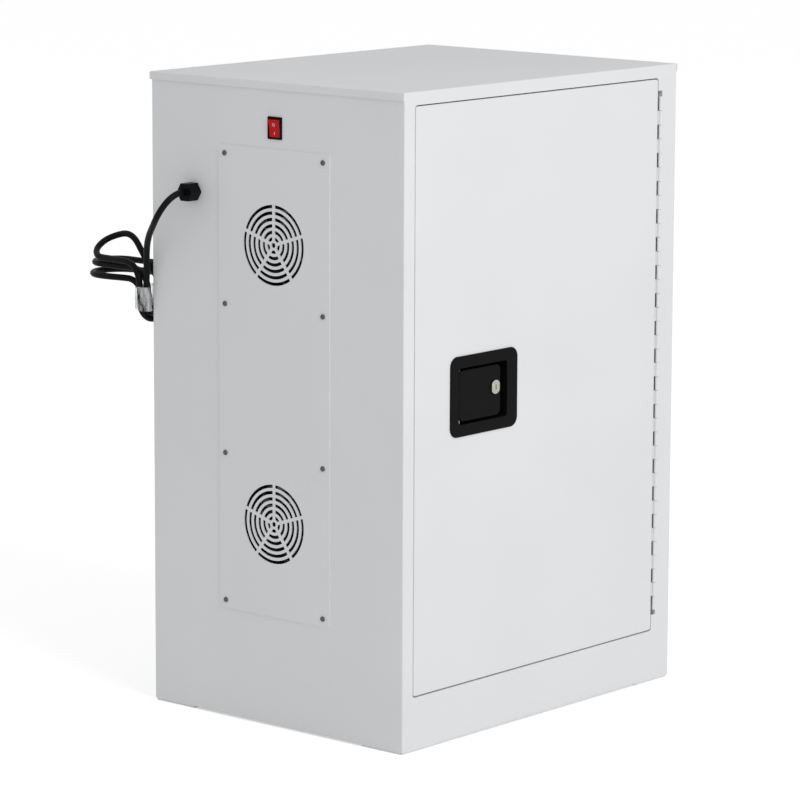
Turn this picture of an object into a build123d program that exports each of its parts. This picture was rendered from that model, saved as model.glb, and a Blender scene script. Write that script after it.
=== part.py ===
"""Battery cabinet: a double-walled steel cabinet with one inset door on a piano hinge.

Millimetres, +Z up, the front faces -Y. The origin is on the floor under the middle of the body.
"""
from build123d import *
from math import cos, degrees, pi, radians, sin, tan
import os

os.makedirs("parts", exist_ok=True)

# ---- driving dimensions ------------------------------------------------------------------------
body_width = 590.0
body_depth = 460.0
body_height = 890.0
sheet = 1.5                 # outer steel
liner_sheet = 1.2           # inner steel
wall_gap = 38.0             # outside of the body to the inside of the liner
foot_side = 74.0
foot_thickness = 3.0
foot_inset = 1.0
foot_corner = 4.0
cap_overhang = 2.0
cap_lip = 11.0
seam = 0.1                  # clearance between nested folded panels

door_gap = 1.8
stile_left = 21.0
rail_top = 17.8
rail_bottom = 74.8
door_corner = 5.0
rebate_depth = 39.0
stop_width = 14.0
gasket_thickness = 3.0
gasket_width = 8.0
gasket_clearance = 0.3
door_return = 20.0

hinge_from_side = 37.5      # hinge axis to the right side of the body
hinge_proud = 1.5           # hinge axis in front of the door face
hinge_bottom = 106.0
hinge_tail = 44.0           # hinge end to the top of the body
knuckle_count = 37
knuckle_gap = 0.5
pin_radius = 1.5
pin_clearance = 0.05
leaf_sheet = 1.4
leaf_inset = 4.9            # hinge axis to the edge that each leaf lies on
leaf_depth = 20.0
leaf_relief = 6.0
hinge_notch_end = 8.0

fan_plate_width = 202.3
fan_plate_height = 644.5
fan_plate_bottom = 154.5
fan_plate_y = 1.35
fan_centres_z = (284.3, 668.5)
grille_radius = 55.0
grille_pitch = 8.7
grille_slot = 4.6
grille_rings = 6
grille_spokes = 5
grille_spoke_width = 4.4
grille_hole_radius = 3.5
screw_spacing_y = 179.5
screw_spacing_z = 207.2
screw_head_radius = 3.6
screw_head_height = 2.2
screw_shank_radius = 2.0
screw_length = 9.0

fan_side = 120.0
fan_depth = 25.0
fan_bore_radius = 57.5
fan_hole_spacing = 105.0
fan_hole_radius = 2.15
fan_hub_radius = 21.0
fan_shaft_radius = 2.5
fan_blades = 7
fan_tip_clearance = 1.5
fan_waist = 1.5             # the sides are this much thinner between the flanges
wall_opening_clearance = 1.0

switch_y = -0.8
switch_z = 827.6
bezel_width = 25.5
bezel_height = 30.6
bezel_proud = 2.0
switch_body_width = 21.6
switch_body_height = 27.6
switch_body_depth = 28.0
rocker_width = 18.6
rocker_height = 24.4
rocker_tilt = 9.0
rocker_clearance = 0.5
rocker_pin_radius = 1.4
rocker_pin_reach = 0.8      # beyond the side of the rocker, into the housing

gland_y = 150.0
gland_z = 730.0
gland_hex = 24.0            # across flats
gland_thread_radius = 10.0
gland_flange = 6.0
gland_nut_length = 24.0
gland_bore_radius = 6.5
locknut_hex = 27.0
locknut_thickness = 5.0
cord_diameter = 9.0

latch_width = 141.5
latch_height = 110.0
latch_corner = 14.0
latch_from_left = 95.0      # left side of the body to the flange
latch_centre_z = 473.0
latch_flange = 2.0
dish_border_left = 15.5
dish_border_right = 21.5
dish_border_height = 15.0
dish_depth = 22.0
dish_wall = 1.6
dish_taper = 8.0
paddle_gap = 3.4
paddle_finger_gap = 13.5
paddle_thickness = 3.0
paddle_rim = 7.0
paddle_corner = 9.0
paddle_pin_radius = 2.0
paddle_pin_inset = 4.2      # pivot to the left edge of the paddle
paddle_pin_depth = 4.5      # pivot behind the door face
lock_radius = 9.5           # double-D cylinder
lock_flats = 16.0
lock_inset = 11.5           # cylinder to the right edge of the paddle
lock_rise = 4.3
lock_length = 14.0
lock_plug_radius = 6.0
lock_cam_reach = 26.0
tongue_height = 20.0
tongue_thickness = 5.0
tongue_reach = 1.2          # nose outside the edge of the door, short of the keeper
tongue_stroke = 11.5

shelf_z = 450.0
shelf_lip = 22.0
shelf_clearance = 2.0
bracket_leg = 24.0
outlet_bar_length = 440.0
outlet_bar_height = 46.0
outlet_bar_depth = 38.0
outlet_bar_z = 700.0
outlet_count = 8

# ---- derived places ----------------------------------------------------------------------------
side_x = body_width / 2
front_y = -body_depth / 2
rear_y = body_depth / 2
floor_z = foot_thickness
cap_z = body_height - sheet
liner_x = side_x - wall_gap
liner_rear_y = rear_y - wall_gap
liner_floor_z = floor_z + wall_gap
liner_top_z = body_height - wall_gap
hinge_x = side_x - hinge_from_side
hinge_y = front_y - hinge_proud
hinge_top = body_height - hinge_tail
barrel_bore = pin_radius + pin_clearance
barrel_radius = barrel_bore + leaf_sheet
open_left = -side_x + stile_left
open_right = hinge_x + leaf_inset
open_bottom = rail_bottom
open_top = body_height - rail_top
door_left = open_left + door_gap
door_right = hinge_x - leaf_inset
door_bottom = open_bottom + door_gap
door_top = open_top - door_gap
stop_y = front_y + rebate_depth
door_depth = rebate_depth - gasket_thickness - gasket_clearance
latch_left = -side_x + latch_from_left
latch_x = latch_left + latch_width / 2
dish_left = latch_left + dish_border_left
dish_right = latch_left + latch_width - dish_border_right
dish_bottom = latch_centre_z - latch_height / 2 + dish_border_height
dish_top = latch_centre_z + latch_height / 2 - dish_border_height
dish_back_y = front_y + dish_depth
paddle_left = dish_left + paddle_gap
paddle_right = dish_right - paddle_finger_gap
paddle_bottom = dish_bottom + paddle_gap + dish_wall
paddle_top = dish_top - paddle_gap - dish_wall
paddle_front_y = front_y - 0.5
pivot_x = paddle_left + paddle_pin_inset
pivot_y = front_y + paddle_pin_depth
lock_x = paddle_right - lock_inset
lock_z = latch_centre_z + lock_rise
tongue_y = dish_back_y + 4.5
slot_y = tongue_y + tongue_thickness / 2


def save(block, name):
    """Label a finished piece and write it under its own name."""
    block.part.label = name
    export_step(block.part, "parts/" + name + ".step")


def front_plane(y):
    """A drawing plane parallel to the front, at y; extruding by a negative amount goes rearwards."""
    return Plane.XZ.offset(-y)


def left_plane(x):
    """A drawing plane parallel to the left wall; its own x runs to the front (-Y), its y up."""
    return Plane(origin=(x, 0, 0), x_dir=(0, -1, 0), z_dir=(-1, 0, 0))


def box_between(x0, x1, y0, y1, z0, z1, mode=Mode.ADD):
    """A block between two corners, added to or cut from the open part."""
    with Locations(((x0 + x1) / 2, (y0 + y1) / 2, (z0 + z1) / 2)):
        Box(x1 - x0, y1 - y0, z1 - z0, mode=mode)


# ---- cabinet body ------------------------------------------------------------------------------
with BuildPart() as front_frame:
    face_height = cap_z - floor_z
    notch_bottom = hinge_bottom - hinge_notch_end
    notch_top = hinge_top + hinge_notch_end
    opening_width = open_right - open_left
    opening_height = open_top - open_bottom
    opening_centre = ((open_left + open_right) / 2, (open_bottom + open_top) / 2)
    with BuildSketch(front_plane(front_y)):
        with Locations((0, (cap_z + floor_z) / 2)):
            Rectangle(body_width, face_height)
        door_edge = door_right + 1.0
        with Locations(((open_left + door_edge) / 2, opening_centre[1])):
            RectangleRounded(door_edge - open_left, opening_height, door_corner, mode=Mode.SUBTRACT)
        with Locations(((door_edge + open_right) / 2 - 2, (notch_bottom + notch_top) / 2)):
            Rectangle(open_right - door_edge + 4, notch_top - notch_bottom, mode=Mode.SUBTRACT)
    extrude(amount=-sheet)
    outer_edges = front_frame.edges().filter_by(Axis.Z).filter_by_position(Axis.Y, front_y, front_y)
    fillet([e for e in outer_edges if abs(abs(e.center().X) - side_x) < 0.01], sheet * 0.99)
    with BuildSketch(front_plane(front_y + sheet)):
        with Locations(opening_centre):
            RectangleRounded(opening_width + 2 * sheet, opening_height + 2 * sheet, door_corner + sheet)
            RectangleRounded(opening_width, opening_height, door_corner, mode=Mode.SUBTRACT)
    extrude(amount=sheet - rebate_depth)
    stop_left = -liner_x
    stop_right = open_right - stop_width
    stop_bottom = open_bottom + stop_width
    plate_bottom = liner_floor_z - liner_sheet
    with BuildSketch(front_plane(stop_y)):
        with Locations(((open_left + open_right) / 2, (plate_bottom + open_top + sheet) / 2)):
            Rectangle(opening_width + 2 * sheet, open_top + sheet - plate_bottom)
        with Locations(((stop_left + stop_right) / 2, (stop_bottom + liner_top_z) / 2)):
            Rectangle(stop_right - stop_left, liner_top_z - stop_bottom, mode=Mode.SUBTRACT)
    extrude(amount=-sheet)
    # the tongue of the latch passes through the left return
    box_between(open_left - 2 * sheet, open_left + sheet, slot_y - tongue_thickness, slot_y + tongue_thickness,
                latch_centre_z - tongue_height / 2 - 2, latch_centre_z + tongue_height / 2 + 2, Mode.SUBTRACT)
save(front_frame, "front_frame")

with BuildPart() as strike_plate:
    strike_x = open_left - sheet
    with BuildSketch(Plane.YZ.offset(strike_x)):
        with Locations((slot_y, latch_centre_z)):
            RectangleRounded(24, tongue_height + 34, 3)
            RectangleRounded(tongue_thickness + 3, tongue_height + 3, 1, mode=Mode.SUBTRACT)
    extrude(amount=-2.0)
save(strike_plate, "strike_plate")


def grille(cut_depth, centre_z):
    """Cut a fan grille out of the open part: slotted rings, left whole along the spokes."""
    with BuildSketch(left_plane(-side_x)) as slots:
        with Locations((-fan_plate_y, centre_z)):
            for ring in range(grille_rings):
                outer = grille_radius - ring * grille_pitch
                Circle(outer)
                Circle(outer - grille_slot, mode=Mode.SUBTRACT)
            for spoke in range(grille_spokes):
                turn = radians(90 + spoke * 360 / grille_spokes)
                with Locations((cos(turn) * grille_radius / 2, sin(turn) * grille_radius / 2)):
                    Rectangle(grille_radius + 2, grille_spoke_width, rotation=degrees(turn), mode=Mode.SUBTRACT)
            Circle(grille_hole_radius)
    extrude(slots.sketch, amount=cut_depth, both=True, mode=Mode.SUBTRACT)


fan_plate_z = fan_plate_bottom + fan_plate_height / 2
with BuildPart() as fan_plate:
    with BuildSketch(left_plane(-side_x)):
        with Locations((-fan_plate_y, fan_plate_z)):
            RectangleRounded(fan_plate_width, fan_plate_height, 1.5)
            with GridLocations(screw_spacing_y, screw_spacing_z, 2, 4):
                Circle(screw_shank_radius + 0.1, mode=Mode.SUBTRACT)
    extrude(amount=sheet)
    for centre_z in fan_centres_z:
        grille(2 * sheet, centre_z)
save(fan_plate, "fan_plate")

with BuildPart() as fan_plate_screws:
    with BuildSketch(left_plane(-side_x - sheet)):
        with Locations((-fan_plate_y, fan_plate_z)):
            with GridLocations(screw_spacing_y, screw_spacing_z, 2, 4):
                Circle(screw_head_radius)
    extrude(amount=screw_head_height)
    fillet(fan_plate_screws.edges().group_by(Axis.X)[0], screw_head_height * 0.6)
    with BuildSketch(left_plane(-side_x - sheet)):
        with Locations((-fan_plate_y, fan_plate_z)):
            with GridLocations(screw_spacing_y, screw_spacing_z, 2, 4):
                Circle(screw_shank_radius)
    extrude(amount=-screw_length)
save(fan_plate_screws, "fan_plate_screws")

for side in (-1, 1):
    with BuildPart() as side_panel:
        box_between(min(side * side_x, side * (side_x - sheet)), max(side * side_x, side * (side_x - sheet)),
                    front_y + sheet, rear_y - sheet, floor_z, cap_z)
        if side < 0:
            # openings for the fans, the switch, the gland and the screws of the fan plate
            with BuildSketch(left_plane(-side_x)):
                for centre_z in fan_centres_z:
                    with Locations((-fan_plate_y, centre_z)):
                        Circle(fan_bore_radius - wall_opening_clearance)
                        with GridLocations(fan_hole_spacing, fan_hole_spacing, 2, 2):
                            Circle(fan_hole_radius)
                with Locations((-fan_plate_y, fan_plate_z)):
                    with GridLocations(screw_spacing_y, screw_spacing_z, 2, 4):
                        Circle(screw_shank_radius + 0.1)
                with Locations((-switch_y, switch_z)):
                    Rectangle(switch_body_width + 0.4, switch_body_height + 0.4)
                with Locations((-gland_y, gland_z)):
                    Circle(gland_thread_radius + 0.2)
            extrude(amount=2 * sheet, both=True, mode=Mode.SUBTRACT)
    save(side_panel, "side_panel_left" if side < 0 else "side_panel_right")

with BuildPart() as rear_panel:
    box_between(-side_x, side_x, rear_y - sheet, rear_y, floor_z, cap_z)
    fillet(rear_panel.edges().filter_by(Axis.Z).group_by(Axis.Y)[-1], sheet * 0.99)
save(rear_panel, "rear_panel")

with BuildPart() as base_panel:
    # a tray: its flanges stand up inside the walls
    tray = sheet + seam
    box_between(-side_x + tray, side_x - tray, front_y + tray, rear_y - tray, floor_z, floor_z + 25)
    box_between(-side_x + tray + sheet, side_x - tray - sheet, front_y + tray + sheet, rear_y - tray - sheet,
                floor_z + sheet, floor_z + 26, Mode.SUBTRACT)
save(base_panel, "base_panel")

with BuildPart() as top_cap:
    lip_outer = side_x + cap_overhang
    box_between(-lip_outer, lip_outer, front_y, rear_y + cap_overhang, body_height - cap_lip, body_height)
    box_between(-side_x - seam, side_x + seam, front_y - 1, rear_y + seam, body_height - cap_lip - 1, cap_z,
                Mode.SUBTRACT)
    fillet(top_cap.edges().group_by(Axis.Z)[-1], 1.4)
save(top_cap, "top_cap")

foot_offset_x = side_x - foot_inset - foot_side / 2
foot_offset_y = body_depth / 2 - foot_inset - foot_side / 2
for place, across, along in (("front_left", -1, -1), ("front_right", 1, -1), ("rear_left", -1, 1),
                             ("rear_right", 1, 1)):
    with BuildPart() as foot:
        with BuildSketch(Plane.XY):
            with Locations((across * foot_offset_x, along * foot_offset_y)):
                RectangleRounded(foot_side, foot_side, foot_corner)
        extrude(amount=foot_thickness)
    save(foot, "foot_" + place)

# ---- liner, shelf and sockets ------------------------------------------------------------------
with BuildPart() as liner:
    liner_front_y = stop_y + sheet
    box_between(-liner_x - liner_sheet, liner_x + liner_sheet, liner_front_y, liner_rear_y + liner_sheet,
                liner_floor_z - liner_sheet, liner_top_z + liner_sheet)
    box_between(-liner_x, liner_x, liner_front_y - 1, liner_rear_y, liner_floor_z, liner_top_z, Mode.SUBTRACT)
    with BuildSketch(left_plane(-liner_x)):
        for centre_z in fan_centres_z:
            with Locations((-fan_plate_y, centre_z)):
                Circle(fan_bore_radius)
    extrude(amount=2 * liner_sheet, both=True, mode=Mode.SUBTRACT)
    with BuildSketch(front_plane(liner_rear_y)):
        with Locations((-outlet_bar_length / 2 + 25, outlet_bar_z)):
            Circle(6)
    extrude(amount=2 * liner_sheet, both=True, mode=Mode.SUBTRACT)
save(liner, "liner")

guard_side = 136.0
guard_slots = 13
guard_slot_pitch = 9.0
for place, centre_z in zip(("lower", "upper"), fan_centres_z):
    with BuildPart() as vent_guard:
        with BuildSketch(left_plane(-liner_x)):
            with Locations((-fan_plate_y, centre_z)):
                RectangleRounded(guard_side, guard_side, 6)
        extrude(amount=-1.0)
        with BuildSketch(left_plane(-liner_x)):
            with Locations((-fan_plate_y, centre_z)):
                for slot in range(guard_slots):
                    height = (slot - (guard_slots - 1) / 2) * guard_slot_pitch
                    half = (fan_bore_radius ** 2 - height ** 2) ** 0.5 if abs(height) < fan_bore_radius else 0
                    if half > 8:
                        with Locations((0, height)):
                            SlotOverall(2 * half - 4, 5)
        extrude(amount=-1.0, mode=Mode.SUBTRACT)
    save(vent_guard, "vent_guard_" + place)

shelf_half = liner_x - shelf_clearance
shelf_front_y = stop_y + 14
shelf_rear_y = liner_rear_y - outlet_bar_depth / 4
shelf_sheet = 1.2
with BuildPart() as shelf:
    box_between(-shelf_half, shelf_half, shelf_front_y, shelf_rear_y, shelf_z - shelf_lip, shelf_z)
    box_between(-shelf_half + shelf_sheet, shelf_half - shelf_sheet, shelf_front_y + shelf_sheet,
                shelf_rear_y - shelf_sheet, shelf_z - shelf_lip - 1, shelf_z - shelf_sheet, Mode.SUBTRACT)
    # rows of slots let the air pass through
    with BuildSketch(Plane.XY.offset(shelf_z)):
        with Locations((0, (shelf_front_y + shelf_rear_y) / 2)):
            with GridLocations(70, 80, 6, 4):
                SlotOverall(50, 8)
    extrude(amount=-2 * shelf_sheet, mode=Mode.SUBTRACT)
save(shelf, "shelf")

with BuildPart() as shelf_brackets:
    bracket_sheet = 1.5
    ledge_z = shelf_z - shelf_lip
    for side in (-1, 1):
        for y in (shelf_front_y + 50, shelf_rear_y - 50):
            wall = side * liner_x
            inner = side * (liner_x - bracket_sheet)
            tip = side * (liner_x - bracket_leg)
            box_between(min(wall, inner), max(wall, inner), y - 15, y + 15, ledge_z - bracket_leg, ledge_z)
            box_between(min(wall, tip), max(wall, tip), y - 15, y + 15, ledge_z - bracket_sheet, ledge_z)
save(shelf_brackets, "shelf_brackets")

socket_pitch = outlet_bar_length / (outlet_count + 1)
socket_side = 32.0
bar_front_y = liner_rear_y - outlet_bar_depth
with BuildPart() as outlet_bar:
    with BuildSketch(Plane.YZ.offset(-outlet_bar_length / 2)):
        with Locations((liner_rear_y - outlet_bar_depth / 2, outlet_bar_z)):
            Rectangle(outlet_bar_depth, outlet_bar_height)
    extrude(amount=outlet_bar_length)
    fillet(outlet_bar.edges().filter_by(Axis.X).group_by(Axis.Y)[0], 4)
    with BuildSketch(front_plane(bar_front_y)):
        with Locations((0, outlet_bar_z)):
            with GridLocations(socket_pitch, 1, outlet_count, 1):
                RectangleRounded(socket_side + 0.2, socket_side + 0.2, 3.1)
    extrude(amount=-8, mode=Mode.SUBTRACT)
save(outlet_bar, "outlet_bar")

with BuildPart() as outlet_sockets:
    with BuildSketch(front_plane(bar_front_y - 0.5)):
        with Locations((0, outlet_bar_z)):
            with GridLocations(socket_pitch, 1, outlet_count, 1):
                RectangleRounded(socket_side, socket_side, 3)
    extrude(amount=-8.5)
    # two blade slots over a round earth hole
    with BuildSketch(front_plane(bar_front_y - 0.5)):
        with Locations((0, outlet_bar_z)):
            with GridLocations(socket_pitch, 1, outlet_count, 1):
                with Locations((-6.35, 4), (6.35, 4)):
                    Rectangle(2.2, 7.5)
                with Locations((0, -6.5)):
                    Circle(2.6)
    extrude(amount=-6, mode=Mode.SUBTRACT)
save(outlet_sockets, "outlet_sockets")

# ---- fans --------------------------------------------------------------------------------------
fan_front_x = -side_x + sheet
motor_depth = 6.0
shaft_length = 12.0
blade_tip_radius = fan_bore_radius - fan_tip_clearance
for place, centre_z in zip(("lower", "upper"), fan_centres_z):
    fan_base = Plane(origin=(fan_front_x, fan_plate_y, centre_z), x_dir=(0, -1, 0), z_dir=(1, 0, 0))
    with BuildPart() as fan_frame:
        with BuildSketch(fan_base):
            RectangleRounded(fan_side, fan_side, 5)
            Circle(fan_bore_radius, mode=Mode.SUBTRACT)
            with GridLocations(fan_hole_spacing, fan_hole_spacing, 2, 2):
                Circle(fan_hole_radius, mode=Mode.SUBTRACT)
        extrude(amount=fan_depth)
        # the middle of each side is thinner between its two end flanges
        with BuildSketch(fan_base.offset(4)):
            with Locations((0, fan_side / 2), (0, -fan_side / 2)):
                Rectangle(fan_side - 34, 2 * fan_waist)
            with Locations((fan_side / 2, 0), (-fan_side / 2, 0)):
                Rectangle(2 * fan_waist, fan_side - 34)
        extrude(amount=fan_depth - 8, mode=Mode.SUBTRACT)
        # four arms carry the motor at the inner face
        with BuildSketch(fan_base.offset(fan_depth - 3)):
            with PolarLocations(fan_bore_radius / 2 + 6, 4, start_angle=45):
                Rectangle(fan_bore_radius - 8, 6)
            Circle(fan_hub_radius)
        extrude(amount=3)
        with BuildSketch(fan_base.offset(fan_depth - 3)):
            Circle(fan_shaft_radius)
        extrude(amount=-shaft_length)
    save(fan_frame, "fan_frame_" + place)

    with BuildPart() as fan_rotor:
        hub_top = fan_depth - 3 - 0.6
        with BuildSketch(fan_base.offset(1.5)):
            Circle(fan_hub_radius)
        extrude(amount=hub_top - 1.5)
        fillet(fan_rotor.edges().group_by(Axis.X)[0], 2)
        with BuildSketch(fan_base.offset(hub_top)):
            Circle(fan_shaft_radius + pin_clearance)
        extrude(amount=-shaft_length, mode=Mode.SUBTRACT)
        # each blade twists from a steep root to a flatter tip
        root_radius = fan_hub_radius - 2
        blade_mid = (hub_top + 1.5) / 2
        for number in range(fan_blades):
            spin = number * 360 / fan_blades
            outward = (0, -cos(radians(spin)), sin(radians(spin)))
            centre = Vector(fan_front_x + blade_mid, fan_plate_y, centre_z)
            with BuildSketch(Plane(origin=centre + Vector(outward) * root_radius, x_dir=(1, 0, 0),
                                   z_dir=outward)) as root:
                SlotOverall(17, 1.8, rotation=40)
            with BuildSketch(Plane(origin=centre + Vector(outward) * blade_tip_radius, x_dir=(1, 0, 0),
                                   z_dir=outward)) as tip:
                SlotOverall(26, 1.5, rotation=58)
            loft(sections=[root.sketch, tip.sketch])
    save(fan_rotor, "fan_rotor_" + place)

# ---- switch ------------------------------------------------------------------------------------
pocket_width = rocker_width + 2 * rocker_clearance
pocket_height = rocker_height + 3.0
pocket_depth = 9.0
rocker_axis_depth = 2.0     # below the bezel's seat on the wall
with BuildPart() as switch_housing:
    with BuildSketch(left_plane(-side_x)):
        with Locations((-switch_y, switch_z)):
            RectangleRounded(bezel_width, bezel_height, 1.5)
    extrude(amount=bezel_proud)
    fillet(switch_housing.edges().group_by(Axis.X)[0], 0.8)
    with BuildSketch(left_plane(-side_x)):
        with Locations((-switch_y, switch_z)):
            Rectangle(switch_body_width, switch_body_height)
    extrude(amount=-switch_body_depth)
    with BuildSketch(left_plane(-side_x - bezel_proud)):
        with Locations((-switch_y, switch_z)):
            Rectangle(pocket_width, pocket_height)
    extrude(amount=-bezel_proud - pocket_depth, mode=Mode.SUBTRACT)
    # holes for the pins of the rocker
    with BuildSketch(Plane.XZ.offset(-switch_y)):
        with Locations((-side_x + rocker_axis_depth, switch_z)):
            Circle(rocker_pin_radius + pin_clearance)
    extrude(amount=switch_body_width / 2, both=True, mode=Mode.SUBTRACT)
save(switch_housing, "switch_housing")

# at rest the lower end is pressed in and the upper end stands out
tilt = radians(rocker_tilt)
rocker_plane = Plane(origin=(-side_x + rocker_axis_depth, switch_y, switch_z), x_dir=(-cos(tilt), 0, -sin(tilt)),
                     z_dir=(0, 1, 0))
with BuildPart() as switch_rocker:
    # seen from the side: a shallow valley between its two ends, round at the back
    with BuildSketch(rocker_plane):
        with BuildLine():
            half = rocker_height / 2
            crest = rocker_axis_depth + 3.2
            Polyline((-1.5, -half), (crest, -half), (rocker_axis_depth + 1.6, 0), (crest, half), (-1.5, half))
            ThreePointArc((-1.5, half), (-4.0, 0), (-1.5, -half))
        make_face()
    extrude(amount=rocker_width / 2, both=True)
    outer_face = rocker_axis_depth + 3.0
    ends = [e for e in switch_rocker.edges() if rocker_plane.to_local_coords(e.center()).X > outer_face]
    fillet(ends, 0.6)
    with BuildSketch(Plane.XZ.offset(-switch_y)):
        with Locations((-side_x + rocker_axis_depth, switch_z)):
            Circle(rocker_pin_radius)
    extrude(amount=rocker_width / 2 + rocker_pin_reach, both=True)
save(switch_rocker, "switch_rocker")

# ---- cable gland -------------------------------------------------------------------------------
gland_out = left_plane(-side_x)
nut_start = gland_flange
nut_hex_length = gland_nut_length * 0.58
with BuildPart() as gland_body:
    with BuildSketch(gland_out):
        with Locations((-gland_y, gland_z)):
            RegularPolygon(gland_hex / 2, 6, major_radius=False)
    extrude(amount=gland_flange)
    with BuildSketch(gland_out):
        with Locations((-gland_y, gland_z)):
            Circle(gland_thread_radius)
    extrude(amount=-7.5)
    with BuildSketch(gland_out.offset(gland_flange)):
        with Locations((-gland_y, gland_z)):
            Circle(gland_thread_radius - 1)
    extrude(amount=9)
    with BuildSketch(gland_out.offset(gland_flange + 9)):
        with Locations((-gland_y, gland_z)):
            Circle(gland_bore_radius)
    extrude(amount=-gland_flange - 9 - 7.5, mode=Mode.SUBTRACT)
save(gland_body, "gland_body")

with BuildPart() as gland_nut:
    with BuildSketch(gland_out.offset(nut_start)):
        with Locations((-gland_y, gland_z)):
            RegularPolygon(gland_hex / 2, 6, major_radius=False)
    extrude(amount=nut_hex_length)
    # the dome closes down on the cord
    dome_start = nut_start + nut_hex_length
    with BuildSketch(gland_out.offset(dome_start)) as dome_root:
        with Locations((-gland_y, gland_z)):
            Circle(gland_hex / 2 - 0.4)
    with BuildSketch(gland_out.offset(nut_start + gland_nut_length)) as dome_tip:
        with Locations((-gland_y, gland_z)):
            Circle(cord_diameter / 2 + 2.6)
    loft(sections=[dome_root.sketch, dome_tip.sketch])
    fillet(gland_nut.edges().filter_by(GeomType.CIRCLE).group_by(Axis.X)[0], 1.5)
    with BuildSketch(gland_out.offset(nut_start)):
        with Locations((-gland_y, gland_z)):
            Circle(gland_thread_radius - 1 + 0.1)
    extrude(amount=11, mode=Mode.SUBTRACT)
    with BuildSketch(gland_out.offset(nut_start)):
        with Locations((-gland_y, gland_z)):
            Circle(cord_diameter / 2 + 0.5)
    extrude(amount=gland_nut_length + 1, mode=Mode.SUBTRACT)
save(gland_nut, "gland_nut")

with BuildPart() as gland_seal:
    with BuildSketch(gland_out.offset(-2)):
        with Locations((-gland_y, gland_z)):
            Circle(gland_bore_radius)
            Circle(cord_diameter / 2, mode=Mode.SUBTRACT)
    extrude(amount=gland_flange + 9 + 2)
save(gland_seal, "gland_seal")

with BuildPart() as gland_locknut:
    with BuildSketch(left_plane(-side_x + sheet)):
        with Locations((-gland_y, gland_z)):
            RegularPolygon(locknut_hex / 2, 6, major_radius=False)
            Circle(gland_thread_radius, mode=Mode.SUBTRACT)
    extrude(amount=-locknut_thickness)
save(gland_locknut, "gland_locknut")

# ---- leads inside the double wall --------------------------------------------------------------
# out of the gland, down and round the rear edge, beside the hank
cord_route = [(-300, 150, 730), (-329, 150, 730), (-343, 155, 722), (-349, 168, 705), (-344, 186, 682),
              (-331, 205, 655), (-314, 222, 628), (-304, 236, 602), (-303.2, 240, 575)]
lead_start = Vector(cord_route[0])      # where the outside lead meets the inside one, in the gland
lead_x = -side_x + 22.5
side_route = [lead_start, Vector(lead_x, gland_y, gland_z), Vector(lead_x, gland_y, switch_z),
              Vector(lead_x, switch_y + switch_body_width / 2, switch_z)]
with BuildPart() as supply_lead:
    with BuildLine() as supply_path:
        FilletPolyline(*side_route, radius=15)
    with BuildSketch(Plane(origin=lead_start, z_dir=(1, 0, 0))):
        Circle(cord_diameter / 2)
    sweep(path=supply_path.wires()[0])
save(supply_lead, "supply_lead")

outlet_lead_diameter = 7.0
outlet_lead_x = -side_x + 11
rear_lead_y = rear_y - 17
drop_x = -outlet_bar_length / 2 + 25
outlet_start = Vector(outlet_lead_x, switch_y, switch_z - switch_body_height / 2)
outlet_route = [outlet_start, Vector(outlet_lead_x, switch_y, outlet_start.Z - 28),
                Vector(outlet_lead_x, rear_lead_y, outlet_start.Z - 28),
                Vector(drop_x, rear_lead_y, outlet_start.Z - 28), Vector(drop_x, rear_lead_y, outlet_bar_z),
                Vector(drop_x, liner_rear_y, outlet_bar_z)]
with BuildPart() as outlet_lead:
    with BuildLine() as outlet_path:
        FilletPolyline(*outlet_route, radius=12)
    with BuildSketch(Plane(origin=outlet_start, z_dir=(0, 0, -1))):
        Circle(outlet_lead_diameter / 2)
    sweep(path=outlet_path.wires()[0])
save(outlet_lead, "outlet_lead")

with BuildPart() as fan_lead:
    fan_lead_x = -side_x + 16.5
    fan_half = fan_side / 2 - fan_waist
    fan_edges = (fan_centres_z[1] + fan_half, fan_centres_z[1] - fan_half, fan_centres_z[0] + fan_half)
    for start_z, end_z in ((switch_z - switch_body_height / 2, fan_edges[0]), (fan_edges[1], fan_edges[2])):
        with BuildSketch(Plane(origin=(fan_lead_x + 3, switch_y + 5, end_z), z_dir=(0, 0, 1))):
            Circle(2)
        extrude(amount=start_z - end_z)
save(fan_lead, "fan_lead")

# ---- piano hinge -------------------------------------------------------------------------------
hinge_height = hinge_top - hinge_bottom
knuckle_pitch = hinge_height / knuckle_count


def hinge_leaf(side, first):
    """One leaf of the hinge: a strip on its own edge, and every second knuckle rolled round the pin."""
    edge_x = hinge_x + side * leaf_inset
    face_x = edge_x - side * leaf_sheet
    strip_y = hinge_y + barrel_bore
    box_between(min(edge_x, face_x), max(edge_x, face_x), strip_y + leaf_relief, strip_y + leaf_depth,
                hinge_bottom, hinge_top)
    for number in range(first, knuckle_count, 2):
        low = hinge_bottom + number * knuckle_pitch + (knuckle_gap / 2 if number else 0)
        high = hinge_bottom + (number + 1) * knuckle_pitch - (knuckle_gap / 2 if number < knuckle_count - 1 else 0)
        box_between(min(edge_x, face_x), max(edge_x, face_x), strip_y, strip_y + leaf_relief, low, high)
        box_between(min(edge_x, hinge_x), max(edge_x, hinge_x), strip_y, strip_y + leaf_sheet, low, high)
        with BuildSketch(Plane.XY.offset(low)) as barrel:
            with Locations((hinge_x, hinge_y)):
                Circle(barrel_radius)
        extrude(barrel.sketch, amount=high - low)
    with BuildSketch(Plane.XY.offset(hinge_bottom)) as bore:
        with Locations((hinge_x, hinge_y)):
            Circle(barrel_bore)
    extrude(bore.sketch, amount=hinge_height, mode=Mode.SUBTRACT)


with BuildPart() as hinge_frame_leaf:
    hinge_leaf(1, 0)
save(hinge_frame_leaf, "hinge_frame_leaf")

with BuildPart() as hinge_door_leaf:
    hinge_leaf(-1, 1)
save(hinge_door_leaf, "hinge_door_leaf")

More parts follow.
